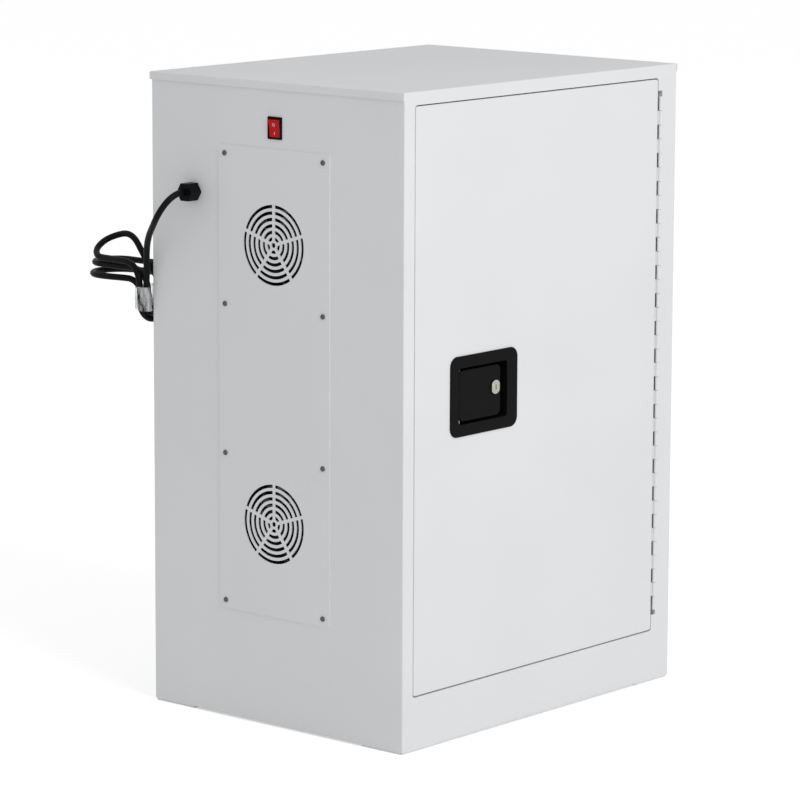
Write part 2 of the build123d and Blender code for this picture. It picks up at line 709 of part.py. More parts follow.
with BuildPart() as hinge_pin:
    with BuildSketch(Plane.XY.offset(hinge_bottom)):
        with Locations((hinge_x, hinge_y)):
            Circle(pin_radius)
    extrude(amount=hinge_height)
save(hinge_pin, "hinge_pin")

# ---- door --------------------------------------------------------------------------------------
door_width = door_right - door_left
door_height = door_top - door_bottom
door_centre = ((door_left + door_right) / 2, (door_bottom + door_top) / 2)
dish_width = dish_right - dish_left
dish_height = dish_top - dish_bottom
dish_centre = ((dish_left + dish_right) / 2, (dish_bottom + dish_top) / 2)
with BuildPart() as door_skin:
    with BuildSketch(front_plane(front_y)):
        with Locations(door_centre):
            RectangleRounded(door_width, door_height, door_corner - door_gap / 2)
    extrude(amount=-door_return)
    fillet(door_skin.edges().group_by(Axis.Y)[0], 1.2)
    with BuildSketch(front_plane(front_y + sheet)):
        with Locations(door_centre):
            RectangleRounded(door_width - 2 * sheet, door_height - 2 * sheet, door_corner - door_gap / 2 - sheet)
    extrude(amount=-door_return, mode=Mode.SUBTRACT)
    with BuildSketch(front_plane(front_y)):
        with Locations(dish_centre):
            RectangleRounded(dish_width + 1, dish_height + 1, 7)
    extrude(amount=-2 * sheet, both=True, mode=Mode.SUBTRACT)
save(door_skin, "door_skin")

inner_wall = sheet + seam
inner_start_y = front_y + door_return - 3
inner_corner = door_corner - door_gap / 2 - sheet
with BuildPart() as door_inner:
    with BuildSketch(front_plane(inner_start_y)):
        with Locations(door_centre):
            RectangleRounded(door_width - 2 * inner_wall, door_height - 2 * inner_wall, inner_corner)
    extrude(amount=inner_start_y - front_y - door_depth)
    with BuildSketch(front_plane(inner_start_y)):
        with Locations(door_centre):
            RectangleRounded(door_width - 2 * inner_wall - 2 * liner_sheet,
                             door_height - 2 * inner_wall - 2 * liner_sheet, inner_corner - liner_sheet)
    extrude(amount=inner_start_y - front_y - door_depth + liner_sheet, mode=Mode.SUBTRACT)
    box_between(door_left, door_left + 6, slot_y - tongue_thickness / 2 - 1, slot_y + tongue_thickness / 2 + 1,
                latch_centre_z - tongue_height / 2 - 1, latch_centre_z + tongue_height / 2 + 1, Mode.SUBTRACT)
save(door_inner, "door_inner")

gasket_margin = 3.0
with BuildPart() as door_gasket:
    with BuildSketch(front_plane(stop_y)):
        with Locations(opening_centre):
            RectangleRounded(opening_width - 2 * gasket_margin, opening_height - 2 * gasket_margin, 4)
            RectangleRounded(opening_width - 2 * gasket_margin - 2 * gasket_width,
                             opening_height - 2 * gasket_margin - 2 * gasket_width, 2, mode=Mode.SUBTRACT)
    extrude(amount=gasket_thickness)
save(door_gasket, "door_gasket")

# ---- latch -------------------------------------------------------------------------------------
with BuildPart() as latch_dish:
    with BuildSketch(front_plane(front_y)):
        with Locations((latch_x, latch_centre_z)):
            RectangleRounded(latch_width, latch_height, latch_corner)
    extrude(amount=latch_flange)
    fillet(latch_dish.edges().group_by(Axis.Y)[0], 1.2)
    with BuildSketch(front_plane(front_y)):
        with Locations(dish_centre):
            RectangleRounded(dish_width, dish_height, 6)
    extrude(amount=-dish_depth, taper=dish_taper)
    with BuildSketch(front_plane(front_y - latch_flange)):
        with Locations(dish_centre):
            RectangleRounded(dish_width - 2 * dish_wall + 0.6, dish_height - 2 * dish_wall + 0.6, 5)
    extrude(amount=-dish_depth - latch_flange + dish_wall, taper=dish_taper, mode=Mode.SUBTRACT)
    # slot at the back for the paddle's lug, and one at the right for the cam of the lock
    box_between(pivot_x - 4, pivot_x + 14.5, dish_back_y - 3, dish_back_y + 1, latch_centre_z - 6,
                latch_centre_z + 6, Mode.SUBTRACT)
    cam_y = paddle_front_y + lock_length + 1.2
    box_between(dish_right - 8, dish_right + 1, cam_y - 1, cam_y + 3, lock_z - 16, lock_z + 7, Mode.SUBTRACT)
    # seats of the paddle's pin
    with BuildSketch(Plane.XY.offset(dish_bottom - 1)):
        with Locations((pivot_x, pivot_y)):
            Circle(paddle_pin_radius)
    extrude(amount=dish_height + 2, mode=Mode.SUBTRACT)
save(latch_dish, "latch_dish")

with BuildPart() as latch_pin:
    with BuildSketch(Plane.XY.offset(dish_bottom + 0.8)):
        with Locations((pivot_x, pivot_y)):
            Circle(paddle_pin_radius)
    extrude(amount=dish_height - 1.6)
save(latch_pin, "latch_pin")

paddle_width = paddle_right - paddle_left
paddle_height = paddle_top - paddle_bottom
paddle_centre = ((paddle_left + paddle_right) / 2, (paddle_bottom + paddle_top) / 2)
lug_half = 1.5
lug_tip_y = tongue_y + tongue_thickness - 1.0
with BuildPart() as latch_paddle:
    with BuildSketch(front_plane(paddle_front_y)):
        with Locations(paddle_centre):
            RectangleRounded(paddle_width, paddle_height, paddle_corner)
    extrude(amount=-paddle_rim)
    fillet(latch_paddle.edges().group_by(Axis.Y)[0], 1.6)
    with BuildSketch(front_plane(paddle_front_y + paddle_thickness)):
        with Locations(paddle_centre):
            RectangleRounded(paddle_width - 2 * paddle_thickness, paddle_height - 2 * paddle_thickness,
                             paddle_corner - paddle_thickness)
    extrude(amount=-paddle_rim, mode=Mode.SUBTRACT)
    # a tube along the left edge turns on the pin
    with BuildSketch(Plane.XY.offset(paddle_bottom + paddle_corner)):
        with Locations((pivot_x, pivot_y)):
            Circle(paddle_pin_radius + 2.0)
    extrude(amount=paddle_height - 2 * paddle_corner)
    box_between(pivot_x - lug_half, pivot_x + lug_half, pivot_y + paddle_pin_radius + 0.8, lug_tip_y,
                latch_centre_z - 4, latch_centre_z + 4)
    with BuildSketch(Plane.XY.offset(paddle_bottom - 1)):
        with Locations((pivot_x, pivot_y)):
            Circle(paddle_pin_radius + pin_clearance)
    extrude(amount=paddle_height + 2, mode=Mode.SUBTRACT)
    # low boss and double-D hole for the lock
    with BuildSketch(front_plane(paddle_front_y)):
        with Locations((lock_x, lock_z)):
            Circle(lock_radius + 1.6)
    extrude(amount=0.7)
    with BuildSketch(front_plane(paddle_front_y - 1)):
        with Locations((lock_x, lock_z)):
            Circle(lock_radius)
            Rectangle(lock_flats, 3 * lock_radius, mode=Mode.INTERSECT)
    extrude(amount=-lock_length, mode=Mode.SUBTRACT)
save(latch_paddle, "latch_paddle")

with BuildPart() as lock_body:
    with BuildSketch(front_plane(paddle_front_y - 1.2)):
        with Locations((lock_x, lock_z)):
            Circle(lock_radius)
            Rectangle(lock_flats, 3 * lock_radius, mode=Mode.INTERSECT)
    extrude(amount=-lock_length - 1.2)
    with BuildSketch(front_plane(paddle_front_y - 1.2)):
        with Locations((lock_x, lock_z)):
            Circle(lock_plug_radius + pin_clearance)
    extrude(amount=-lock_length - 1.2, mode=Mode.SUBTRACT)
save(lock_body, "lock_body")

with BuildPart() as lock_plug:
    with BuildSketch(front_plane(paddle_front_y - 1.6)):
        with Locations((lock_x, lock_z)):
            Circle(lock_plug_radius)
    extrude(amount=-lock_length - 1.6 - 0.6)
    fillet(lock_plug.edges().group_by(Axis.Y)[0], 0.5)
    with BuildSketch(front_plane(paddle_front_y - 1.6)):
        with Locations((lock_x, lock_z)):
            Rectangle(1.6, 7)
    extrude(amount=-6, mode=Mode.SUBTRACT)
    # the cam points down; turned a quarter it slides behind the edge of the dish
    with BuildSketch(front_plane(paddle_front_y + lock_length + 0.6)):
        with Locations((lock_x, lock_z - lock_cam_reach / 2 + 4)):
            RectangleRounded(10, lock_cam_reach + 8, 4)
    extrude(amount=-2)
save(lock_plug, "lock_plug")

tongue_nose_x = door_left - tongue_reach
tongue_end_x = pivot_x + 40
with BuildPart() as latch_tongue:
    box_between(tongue_nose_x, tongue_end_x, tongue_y, tongue_y + tongue_thickness,
                latch_centre_z - tongue_height / 2, latch_centre_z + tongue_height / 2)
    nose_edges = latch_tongue.edges().filter_by(Axis.Z).group_by(Axis.X)[0]
    chamfer(nose_edges.sort_by(Axis.Y)[-1], 3)
    box_between(pivot_x - lug_half - 1.3, pivot_x + lug_half + 1.3, tongue_y - 1, tongue_y + tongue_thickness + 1,
                latch_centre_z - 5, latch_centre_z + 5, Mode.SUBTRACT)
save(latch_tongue, "latch_tongue")

guide_play = 0.3
guide_wall = 2.0
with BuildPart() as latch_guide:
    # a box on the back of the dish that the tongue slides through
    guide_x = tongue_end_x - 18
    box_between(guide_x, guide_x + 26 + tongue_stroke, dish_back_y, tongue_y + tongue_thickness + guide_play + guide_wall,
                latch_centre_z - tongue_height / 2 - guide_play - guide_wall,
                latch_centre_z + tongue_height / 2 + guide_play + guide_wall)
    box_between(guide_x - 1, guide_x + 60, tongue_y - guide_play, tongue_y + tongue_thickness + guide_play,
                latch_centre_z - tongue_height / 2 - guide_play, latch_centre_z + tongue_height / 2 + guide_play,
                Mode.SUBTRACT)
save(latch_guide, "latch_guide")

with BuildPart() as tongue_bracket:
    # an angle on the back of the door skin steadies the nose
    bracket_x = door_left + 26
    box_between(bracket_x, bracket_x + guide_wall, front_y + sheet, front_y + door_depth - liner_sheet - 2,
                latch_centre_z - 20, latch_centre_z + 20)
    box_between(bracket_x, bracket_x + 22, front_y + sheet, front_y + sheet + guide_wall,
                latch_centre_z - 20, latch_centre_z + 20)
    box_between(bracket_x - 1, bracket_x + guide_wall + 1, tongue_y - guide_play,
                tongue_y + tongue_thickness + guide_play, latch_centre_z - tongue_height / 2 - guide_play,
                latch_centre_z + tongue_height / 2 + guide_play, Mode.SUBTRACT)
save(tongue_bracket, "tongue_bracket")

# ---- mains lead outside the body ---------------------------------------------------------------
cord_radius = cord_diameter / 2
# one loose turn stands up over the hank
loop_route = [(-262, 283, 606), (-262, 286, 634), (-266, 301, 651), (-273, 321, 652), (-280, 337, 642),
              (-284, 344, 628), (-284, 340, 609)]
# the last stretch turns up beside the hank into the plug
tail_route = [(-252, 251, 549), (-233, 251, 549), (-220, 251, 556), (-214, 251, 570), (-214, 251, 590)]


def route_radii(route):
    """The largest arcs that the runs allow: 0.45 of the shorter run, over the tangent of half the turn."""
    radii = []
    for before, here, after in zip(route, route[1:], route[2:]):
        come, go = Vector(here) - Vector(before), Vector(after) - Vector(here)
        half_turn = radians(come.get_angle(go)) / 2
        radii.append(0.45 * min(come.length, go.length) / tan(half_turn))
    return radii


def cord_tube(route, name):
    """A round tube along straight runs joined by tangent arcs."""
    radii = route_radii(route)
    print(name, "radii in diameters:", [round(radius / cord_diameter, 1) for radius in radii])
    with BuildLine() as path:
        FilletPolyline(*route, radius=radii)
    with BuildSketch(Plane(origin=route[0], z_dir=Vector(route[1]) - Vector(route[0]))) as section:
        Circle(cord_radius)
    sweep(section.sketch, path=path.wires()[0])
    print(name, "length", round(path.wires()[0].length, 1))


with BuildPart() as power_cord:
    cord_tube(cord_route, "power_cord")
save(power_cord, "power_cord")
print("power_cord volume over its section", round(power_cord.part.volume / (pi * cord_radius ** 2), 1))

hank_near_x = -293.0        # strands on the near side and the far side
hank_far_x = -243.0
hank_wall_y = 244.0         # strand nearest the rear wall
hank_layers = 3
hank_arm_z = 613.0          # top strand of the part that lies out
hank_bend = 29.0
hank_tip_y = 354.5
hank_bottom_z = 545.5
hank_ledge_z = cord_route[-1][2]
with BuildPart() as cord_hank:
    thick = hank_layers * cord_diameter
    wall_y = hank_wall_y - cord_radius
    top_z = hank_arm_z + cord_radius
    bottom_z = hank_bottom_z - cord_radius
    tip_y = hank_tip_y + cord_radius
    outer_bend = hank_bend + cord_radius
    width = hank_far_x - hank_near_x + cord_diameter
    with BuildSketch(Plane.YZ.offset(hank_near_x - cord_radius)) as hank_side:
        with BuildLine():
            Line((wall_y, bottom_z), (wall_y, top_z - outer_bend))
            RadiusArc((wall_y, top_z - outer_bend), (wall_y + outer_bend, top_z), outer_bend)
            Polyline((wall_y + outer_bend, top_z), (tip_y, top_z), (tip_y, top_z - thick),
                     (wall_y + outer_bend, top_z - thick))
            RadiusArc((wall_y + outer_bend, top_z - thick), (wall_y + thick, top_z - outer_bend),
                      -(outer_bend - thick))
            Polyline((wall_y + thick, top_z - outer_bend), (wall_y + thick, bottom_z), (wall_y, bottom_z))
        make_face()
    extrude(amount=width)
    fillet(cord_hank.edges().filter_by(Axis.Z).group_by(Axis.Y)[-1], width * 0.45)
    # the lead comes down onto a ledge and joins the folds at the bottom
    box_between(cord_route[-1][0] - cord_radius, hank_far_x + cord_radius, cord_route[-1][1] - cord_radius,
                wall_y + thick, bottom_z, hank_ledge_z)
    fillet(cord_hank.edges().filter_by(Axis.Y).group_by(Axis.Z)[0], width * 0.4)
    cord_tube(loop_route, "cord_hank loop")
    cord_tube(tail_route, "cord_hank tail")
save(cord_hank, "cord_hank")

tie_height = 18.0
tie_wall = 0.8
tie_play = 0.3
tie_corner = 1.0
with BuildPart() as cord_tie:
    tie_x0 = cord_route[-1][0] - cord_radius - tie_play
    tie_x1 = hank_far_x + cord_radius + tie_play
    tie_y0 = cord_route[-1][1] - cord_radius - tie_play
    tie_y1 = wall_y + thick + tie_play
    tie_centre = ((tie_x0 + tie_x1) / 2, (tie_y0 + tie_y1) / 2)
    with BuildSketch(Plane.XY.offset(hank_ledge_z + 1)):
        with Locations(tie_centre):
            RectangleRounded(tie_x1 - tie_x0 + 2 * tie_wall, tie_y1 - tie_y0 + 2 * tie_wall, tie_corner + tie_wall)
            RectangleRounded(tie_x1 - tie_x0, tie_y1 - tie_y0, tie_corner, mode=Mode.SUBTRACT)
    extrude(amount=-tie_height)
save(cord_tie, "cord_tie")

plug_x, plug_y, plug_z = tail_route[-1]
plug_radius = 15.0
plug_relief = 18.0
plug_body = 36.0
blade_length = 16.0
with BuildPart() as power_plug:
    with BuildSketch(Plane.XZ.offset(-plug_y)):
        with BuildLine():
            Polyline((plug_x, plug_z), (plug_x + cord_radius, plug_z), (plug_x + cord_radius + 2.5, plug_z + plug_relief))
            Polyline((plug_x + cord_radius + 2.5, plug_z + plug_relief),
                     (plug_x + plug_radius, plug_z + plug_relief + 10),
                     (plug_x + plug_radius, plug_z + plug_relief + plug_body),
                     (plug_x, plug_z + plug_relief + plug_body), (plug_x, plug_z))
        make_face()
    revolve(axis=Axis((plug_x, plug_y, plug_z), (0, 0, 1)))
    face_z = plug_z + plug_relief + plug_body
    for blade_x in (-6.35, 6.35):
        box_between(plug_x + blade_x - 0.75, plug_x + blade_x + 0.75, plug_y - 3.2, plug_y + 3.2, face_z - 1,
                    face_z + blade_length)
    with BuildSketch(Plane.XY.offset(face_z - 1)):
        with Locations((plug_x, plug_y + 9)):
            Circle(2.4)
    extrude(amount=blade_length + 4)
save(power_plug, "power_plug")
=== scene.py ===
import bpy, bmesh
from math import cos, pi, radians, sin
from mathutils import Matrix, Vector, noise


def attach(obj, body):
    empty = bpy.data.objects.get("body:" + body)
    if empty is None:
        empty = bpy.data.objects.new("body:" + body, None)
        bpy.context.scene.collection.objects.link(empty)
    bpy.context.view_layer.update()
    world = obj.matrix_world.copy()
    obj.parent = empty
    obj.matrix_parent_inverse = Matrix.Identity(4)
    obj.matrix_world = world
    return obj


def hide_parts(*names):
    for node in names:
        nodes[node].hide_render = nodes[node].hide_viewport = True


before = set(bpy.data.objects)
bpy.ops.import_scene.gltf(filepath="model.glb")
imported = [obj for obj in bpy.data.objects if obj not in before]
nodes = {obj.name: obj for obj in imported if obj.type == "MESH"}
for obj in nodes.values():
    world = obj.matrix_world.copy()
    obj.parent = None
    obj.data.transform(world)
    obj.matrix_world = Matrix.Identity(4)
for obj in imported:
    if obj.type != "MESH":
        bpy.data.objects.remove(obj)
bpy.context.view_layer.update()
print("frame loaded:", len(nodes), "nodes")

# camera

cameraSet = {
    "place": (-4.2145, -3.5970, 1.3920),
    "turn": 49.321,   # degrees from +Y towards +X
    "down": 9.327,
    "roll": 0.221,
    "lens": 178.85,
    "sensor": 36.0,
    "shift": (-0.00337, -0.05563),
}


def makeCamera(values):
    data = bpy.data.cameras.new("studioCamera")
    data.sensor_width = values["sensor"]
    data.lens = values["lens"]
    data.shift_x, data.shift_y = values["shift"]
    data.clip_start, data.clip_end = 0.1, 60.0
    camera = bpy.data.objects.new("studioCamera", data)
    turn, down = radians(values["turn"]), radians(values["down"])
    ahead = Vector((sin(turn) * cos(down), cos(turn) * cos(down), -sin(down)))
    look = ahead.to_track_quat("-Z", "Y").to_matrix()
    roll = Matrix.Rotation(-radians(values["roll"]), 3, ahead)
    camera.matrix_world = Matrix.Translation(values["place"]) @ (roll @ look).to_4x4()
    bpy.context.collection.objects.link(camera)
    bpy.context.scene.camera = camera


makeCamera(cameraSet)
print("camera made")


# material helpers

def newMaterial(name, colour, roughness, metallic=0.0, specular=0.5):
    mat = bpy.data.materials.new(name)
    mat.use_nodes = True
    shader = mat.node_tree.nodes["Principled BSDF"]
    shader.inputs["Base Color"].default_value = (*colour, 1.0)
    shader.inputs["Roughness"].default_value = roughness
    shader.inputs["Metallic"].default_value = metallic
    shader.inputs["Specular IOR Level"].default_value = specular
    return mat, mat.node_tree, shader


def addNode(tree, kind, **values):
    node = tree.nodes.new(kind)
    for key, value in values.items():
        setattr(node, key, value)
    return node


def objectNoise(tree, scale, detail=2.0, stretch=None):
    coords = addNode(tree, "ShaderNodeTexCoord")
    source = coords.outputs["Object"]
    if stretch:
        mapping = addNode(tree, "ShaderNodeMapping")
        mapping.inputs["Scale"].default_value = stretch
        tree.links.new(source, mapping.inputs["Vector"])
        source = mapping.outputs["Vector"]
    texture = addNode(tree, "ShaderNodeTexNoise")
    texture.inputs["Scale"].default_value = scale
    texture.inputs["Detail"].default_value = detail
    tree.links.new(source, texture.inputs["Vector"])
    return texture


def addBump(tree, shader, height, strength, distance):
    bump = addNode(tree, "ShaderNodeBump")
    bump.inputs["Strength"].default_value = strength
    bump.inputs["Distance"].default_value = distance
    tree.links.new(height, bump.inputs["Height"])
    tree.links.new(bump.outputs["Normal"], shader.inputs["Normal"])


def addRange(tree, source, shader, socket, low, high):
    ramp = addNode(tree, "ShaderNodeMapRange")
    ramp.inputs["From Min"].default_value = 0.3      # a noise texture stays mostly between these two
    ramp.inputs["From Max"].default_value = 0.7
    ramp.inputs["To Min"].default_value = low
    ramp.inputs["To Max"].default_value = high
    tree.links.new(source, ramp.inputs["Value"])
    tree.links.new(ramp.outputs["Result"], shader.inputs[socket])


def addTint(tree, source, shader, first, second):
    ramp = addNode(tree, "ShaderNodeValToRGB")
    ramp.color_ramp.elements[0].position = 0.35
    ramp.color_ramp.elements[1].position = 0.65
    ramp.color_ramp.elements[0].color = (*first, 1.0)
    ramp.color_ramp.elements[1].color = (*second, 1.0)
    tree.links.new(source, ramp.inputs["Fac"])
    tree.links.new(ramp.outputs["Color"], shader.inputs["Base Color"])


def dress(material, *names):
    for name in names:
        slots = nodes[name].data.materials
        slots.clear()
        slots.append(material)


def finishPiece(bm, mesh, name, material, body, smooth=True):
    bmesh.ops.remove_doubles(bm, verts=bm.verts, dist=0.00001)
    bmesh.ops.recalc_face_normals(bm, faces=bm.faces)
    bm.to_mesh(mesh)
    bm.free()
    for polygon in mesh.polygons:
        polygon.use_smooth = smooth
    mesh.materials.append(material)
    piece = bpy.data.objects.new(name, mesh)
    bpy.context.collection.objects.link(piece)
    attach(piece, body)
    return piece


# finishes

powderWhite, tree, shader = newMaterial("powderWhite", (0.80, 0.81, 0.825), 0.42, specular=0.4)
broad = objectNoise(tree, 5.0, 3.0)
addTint(tree, broad.outputs["Fac"], shader, (0.79, 0.802, 0.818), (0.812, 0.822, 0.836))
peel = objectNoise(tree, 700.0, 1.0)
addBump(tree, shader, peel.outputs["Fac"], 0.12, 0.0004)
addRange(tree, peel.outputs["Fac"], shader, "Roughness", 0.38, 0.46)

# a darker copy of the white powder coat, painted shade for the parts inside the cabinet
powderShadedInside, tree, shader = newMaterial("powderShadedInside", (0.76, 0.77, 0.785), 0.5, specular=0.4)
broad = objectNoise(tree, 4.0, 3.0)
addTint(tree, broad.outputs["Fac"], shader, (0.74, 0.75, 0.765), (0.77, 0.78, 0.795))
peel = objectNoise(tree, 700.0, 1.0)
addBump(tree, shader, peel.outputs["Fac"], 0.12, 0.0004)

mouldedBlack, tree, shader = newMaterial("mouldedBlack", (0.004, 0.0042, 0.0042), 0.3, specular=0.08)
grain = objectNoise(tree, 1800.0, 2.0)
addBump(tree, shader, grain.outputs["Fac"], 0.15, 0.0001)
addRange(tree, grain.outputs["Fac"], shader, "Roughness", 0.30, 0.40)

fanBlack, tree, shader = newMaterial("fanBlack", (0.005, 0.005, 0.006), 0.5, specular=0.25)
grain = objectNoise(tree, 1200.0, 2.0)
addBump(tree, shader, grain.outputs["Fac"], 0.2, 0.0002)

rubberBlack, tree, shader = newMaterial("rubberBlack", (0.004, 0.0042, 0.0042), 0.5, specular=0.1)
grain = objectNoise(tree, 900.0, 2.0)
addBump(tree, shader, grain.outputs["Fac"], 0.2, 0.0003)
addRange(tree, grain.outputs["Fac"], shader, "Roughness", 0.55, 0.68)

cordBlack, tree, shader = newMaterial("cordBlack", (0.003, 0.003, 0.0032), 0.36, specular=0.14)
grain = objectNoise(tree, 500.0, 2.0)
addBump(tree, shader, grain.outputs["Fac"], 0.15, 0.0003)

zincSteel, tree, shader = newMaterial("zincSteel", (0.62, 0.63, 0.64), 0.3, metallic=1.0)
spangle = objectNoise(tree, 260.0, 2.0)
addRange(tree, spangle.outputs["Fac"], shader, "Roughness", 0.24, 0.4)

screwSteel, tree, shader = newMaterial("screwSteel", (0.16, 0.16, 0.165), 0.22, metallic=1.0)
wear = objectNoise(tree, 900.0, 2.0)
addRange(tree, wear.outputs["Fac"], shader, "Roughness", 0.16, 0.3)

nickel, tree, shader = newMaterial("nickel", (0.72, 0.69, 0.63), 0.18, metallic=1.0)
turned = objectNoise(tree, 900.0, 1.0)
addRange(tree, turned.outputs["Fac"], shader, "Roughness", 0.14, 0.24)

rockerRed, tree, shader = newMaterial("rockerRed", (0.56, 0.008, 0.012), 0.25, specular=0.12)
cloud = objectNoise(tree, 300.0, 1.0)
addRange(tree, cloud.outputs["Fac"], shader, "Roughness", 0.18, 0.26)

markPink, tree, shader = newMaterial("markPink", (0.86, 0.52, 0.54), 0.5)
speck = objectNoise(tree, 2500.0, 1.0)
addTint(tree, speck.outputs["Fac"], shader, (0.84, 0.49, 0.52), (0.88, 0.56, 0.57))

# a clear film given a pale colour, which stands in for its reflections, painted sheen
clearFilm, tree, shader = newMaterial("clearFilm", (0.80, 0.82, 0.84), 0.12)
crease = objectNoise(tree, 110.0, 3.0, (1.0, 1.0, 0.35))
addBump(tree, shader, crease.outputs["Fac"], 0.9, 0.002)
# where the noise raises the alpha the pale colour shows in streaks, painted highlights along the creases
addRange(tree, crease.outputs["Fac"], shader, "Alpha", -0.25, 0.62)

dress(powderWhite, "front_frame", "fan_plate", "side_panel_left", "side_panel_right", "rear_panel", "base_panel",
      "top_cap", "door_skin", "hinge_frame_leaf", "hinge_door_leaf", "foot_front_left", "foot_front_right",
      "foot_rear_left", "foot_rear_right")
# the inside parts take the darker copy of the white coat, painted shade
dress(powderShadedInside, "liner", "vent_guard_lower", "vent_guard_upper", "shelf", "door_inner")
dress(screwSteel, "fan_plate_screws")
dress(zincSteel, "strike_plate", "shelf_brackets", "hinge_pin", "latch_pin", "latch_guide", "tongue_bracket",
      "latch_tongue")
dress(nickel, "lock_body", "lock_plug")
dress(mouldedBlack, "latch_dish", "latch_paddle", "switch_housing", "gland_body", "gland_nut", "gland_locknut",
      "outlet_bar", "outlet_sockets")
dress(fanBlack, "fan_frame_lower", "fan_frame_upper", "fan_rotor_lower", "fan_rotor_upper")
dress(rubberBlack, "gland_seal", "door_gasket", "power_plug")
dress(cordBlack, "supply_lead", "outlet_lead", "fan_lead", "power_cord", "cord_hank")
dress(clearFilm, "cord_tie")
dress(rockerRed, "switch_rocker")
print("materials made")


# mains lead

# the exit, diameter and length are in metres, and the corners of the line in millimetres, in the order it takes them
leadSet = {
    "exit": (-0.300, 0.150, 0.730),
    "diameter": 0.009,
    "length": 1.53,
    "runs": ("drop", "firstFold", "firstTurn", "secondFold", "secondTurn", "thirdFold", "loose", "tail"),
    # out of the gland, down and round the rear edge, beside the hank
    "drop": [(-300, 150, 730), (-314, 150, 730), (-328, 150, 730), (-342.5, 152.5, 722.5), (-350, 159.5, 709.5),
             (-349, 170.5, 696), (-341, 184.5, 683), (-330, 202, 670), (-318, 218.5, 652.5), (-309, 228.5, 632.5),
             (-304, 233, 612), (-303.5, 234.5, 592)],
    "firstFold": [(-303.5, 235.5, 568.69), (-284.31, 237.33, 549.5), (-257.19, 239.17, 549.5), (-238, 241, 568.69)],
    "firstTurn": [(-238, 241, 595.4), (-238, 258.6, 613), (-238, 283.4, 613), (-238, 316.8, 613), (-238, 341.2, 613),
                  (-255.3, 358.4, 613), (-279.7, 358.4, 613), (-297, 341.2, 613), (-297, 316.8, 613),
                  (-296, 283.4, 613), (-294.5, 258.6, 613), (-294, 241, 595.4)],
    "secondFold": [(-294, 241, 576), (-279, 243, 560.5), (-255, 248, 557), (-236, 254, 568), (-231.5, 261, 587)],
    "secondTurn": [(-231.5, 278, 598), (-231.5, 300, 598), (-231.5, 336.4, 598), (-253.3, 358.2, 598),
                   (-284.2, 358.2, 598), (-306, 336.4, 598), (-306, 305.6, 598), (-301, 285, 598), (-295, 268, 597)],
    "thirdFold": [(-294, 253, 584), (-294, 251, 562), (-278.2, 255, 546), (-255.8, 264, 546.5), (-242, 268, 561),
                  (-241.5, 269, 581)],
    # the loose turn stands up from the middle, leans to the near side and comes back over the arm
    "loose": [(-247, 271, 598), (-256, 279, 616), (-259, 289, 634), (-258, 300, 647), (-257, 315, 653.5),
              (-258, 333, 650.5), (-270.6, 347.8, 642.6), (-288.4, 347.8, 631.4), (-301, 333, 623.5),
              (-302, 318, 623), (-303, 303, 623), (-304, 288, 623), (-304.5, 273, 622.8), (-305.5, 254, 617),
              (-305.5, 245.8, 599), (-305, 245, 578)],
    "tail": [(-305, 245, 557), (-289.5, 245, 541.5), (-266, 245.5, 541), (-243, 248.5, 540.5), (-225, 251, 547.5),
             (-215.5, 251, 562), (-214, 251, 578), (-214, 251, 592)],
}


def leadPoints(values):
    return [Vector(point) / 1000 for run in values["runs"] for point in values[run]]


def makeLead(values):
    data = bpy.data.curves.new("mainsLead", "CURVE")
    data.dimensions = "3D"
    data.bevel_depth = values["diameter"] / 2
    data.bevel_resolution = 5
    data.use_fill_caps = True
    data.resolution_u = 10
    spline = data.splines.new("NURBS")
    points = leadPoints(values)
    spline.points.add(len(points) - 1)
    for spot, point in zip(spline.points, points):
        spot.co = (*point, 1.0)
    spline.order_u = 3
    spline.use_endpoint_u = True
    lead = bpy.data.objects.new("mainsLead", data)
    bpy.context.collection.objects.link(lead)
    data.materials.append(cordBlack)
    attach(lead, "cabinet")
    return lead


plugSet = {
    "x": -0.214,
    "y": 0.251,
    "face": 0.644,
    "blade": (0.0017, 0.0066, 0.0162),
    "apart": 0.0127,
    "earth": (0.0, 0.009),      # from the plug's axis
    "earthRadius": 0.00252,
    "earthLength": 0.0192,
    "tip": 0.010,               # edges wholly above this height over the face are rounded
    "round": 0.0006,
}


def makePlugBlades(values):
    mesh = bpy.data.meshes.new("plugBlades")
    bm = bmesh.new()
    wide, deep, tall = values["blade"]
    for side in (-0.5, 0.5):
        blade = bmesh.ops.create_cube(bm, size=1)["verts"]
        bmesh.ops.scale(bm, vec=(wide, deep, tall), verts=blade)
        place = (values["x"] + side * values["apart"], values["y"], values["face"] + tall / 2)
        bmesh.ops.translate(bm, vec=place, verts=blade)
    length, radius = values["earthLength"], values["earthRadius"]
    earth = bmesh.ops.create_cone(bm, segments=32, radius1=radius, radius2=radius, depth=length, cap_ends=True)["verts"]
    offX, offY = values["earth"]
    bmesh.ops.translate(bm, vec=(values["x"] + offX, values["y"] + offY, values["face"] + length / 2), verts=earth)
    caps = [e for e in bm.edges if all(v.co.z > values["face"] + values["tip"] for v in e.verts)]
    bmesh.ops.bevel(bm, geom=caps, offset=values["round"], segments=2, profile=0.5, affect="EDGES", material=-1)
    return finishPiece(bm, mesh, "plugBlades", nickel, "cabinet", smooth=False)


# the bundle's outline from above and the film's low and high ends, near and far, in millimetres, the rest in metres
filmSet = {
    "outline": [(-310.5, 229.5), (-311, 240), (-310.5, 250), (-300, 259), (-270, 270.5), (-246, 276), (-231, 275),
                (-225, 264), (-227, 244), (-236, 234), (-265, 231.5), (-292, 230.8), (-301, 228.5)],
    "near": -311,
    "far": -225,
    "low": (556, 553),
    "high": (590, 584),
    "rings": 14,
    "crinkle": 0.0009,
    "crease": (60, 60, 130),      # creases per metre
    "slant": 90,                  # how much they climb to the far side
    "thickness": 0.0003,
}


def between(pair, share):
    return pair[0] * (1 - share) + pair[1] * share


